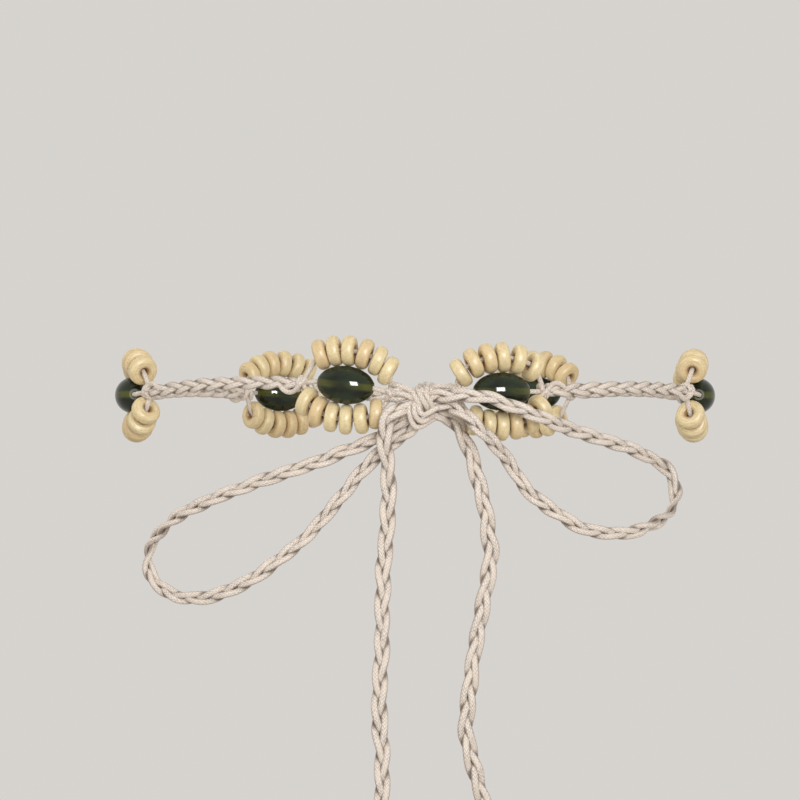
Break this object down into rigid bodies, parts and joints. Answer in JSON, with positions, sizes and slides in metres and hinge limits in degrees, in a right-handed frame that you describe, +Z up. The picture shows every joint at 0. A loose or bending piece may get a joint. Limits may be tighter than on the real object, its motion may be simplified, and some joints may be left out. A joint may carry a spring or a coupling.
{
  "type": "waist chain",
  "caption": "Tie-on waist chain of braided cotton cord with flower motifs: oval green beads ringed by wooden rondelles, tied at the front in a bow with hanging tails.",
  "frame": {"origin": "middle of the waist opening, in the plane of the worn chain", "axes": "+Z up along the body, -Y to the front where the bow is, +X to the wearer's left"},
  "size_m": [0.2526, 0.201, 0.1977],
  "materials": {
    "green_resin": "dark olive-green translucent resin, polished",
    "wood_beads": "pale yellow wood, turned and varnished, slight gloss, browner at the edges",
    "cotton_cord": "cream waxed cotton cord, three strands plaited, soft sheen"
  },
  "bodies": {
    "root": {"green_bead_front_left": "green_resin", "petals_upper_front_left": "wood_beads", "petals_lower_front_left": "wood_beads", "core_cord_front_left": "cotton_cord", "green_bead_side_left": "green_resin", "petals_upper_side_left": "wood_beads", "petals_lower_side_left": "wood_beads", "core_cord_side_left": "cotton_cord", "green_bead_back_left": "green_resin", "petals_upper_back_left": "wood_beads", "petals_lower_back_left": "wood_beads", "core_cord_back_left": "cotton_cord", "green_bead_back_right": "green_resin", "petals_upper_back_right": "wood_beads", "petals_lower_back_right": "wood_beads", "core_cord_back_right": "cotton_cord", "green_bead_side_right": "green_resin", "petals_upper_side_right": "wood_beads", "petals_lower_side_right": "wood_beads", "core_cord_side_right": "cotton_cord", "green_bead_front_right": "green_resin", "petals_upper_front_right": "wood_beads", "petals_lower_front_right": "wood_beads", "core_cord_front_right": "cotton_cord", "braid_left_front_strand_1": "cotton_cord", "braid_left_front_strand_2": "cotton_cord", "braid_left_front_strand_3": "cotton_cord", "braid_left_back_strand_1": "cotton_cord", "braid_left_back_strand_2": "cotton_cord", "braid_left_back_strand_3": "cotton_cord", "braid_back_strand_1": "cotton_cord", "braid_back_strand_2": "cotton_cord", "braid_back_strand_3": "cotton_cord", "braid_right_back_strand_1": "cotton_cord", "braid_right_back_strand_2": "cotton_cord", "braid_right_back_strand_3": "cotton_cord", "braid_right_front_strand_1": "cotton_cord", "braid_right_front_strand_2": "cotton_cord", "braid_right_front_strand_3": "cotton_cord", "bow_knot": "cotton_cord", "tie_loop_left": "cotton_cord", "tie_loop_right": "cotton_cord", "tie_tail_left": "cotton_cord", "tie_tail_right": "cotton_cord"}
  },
  "joints": []
}
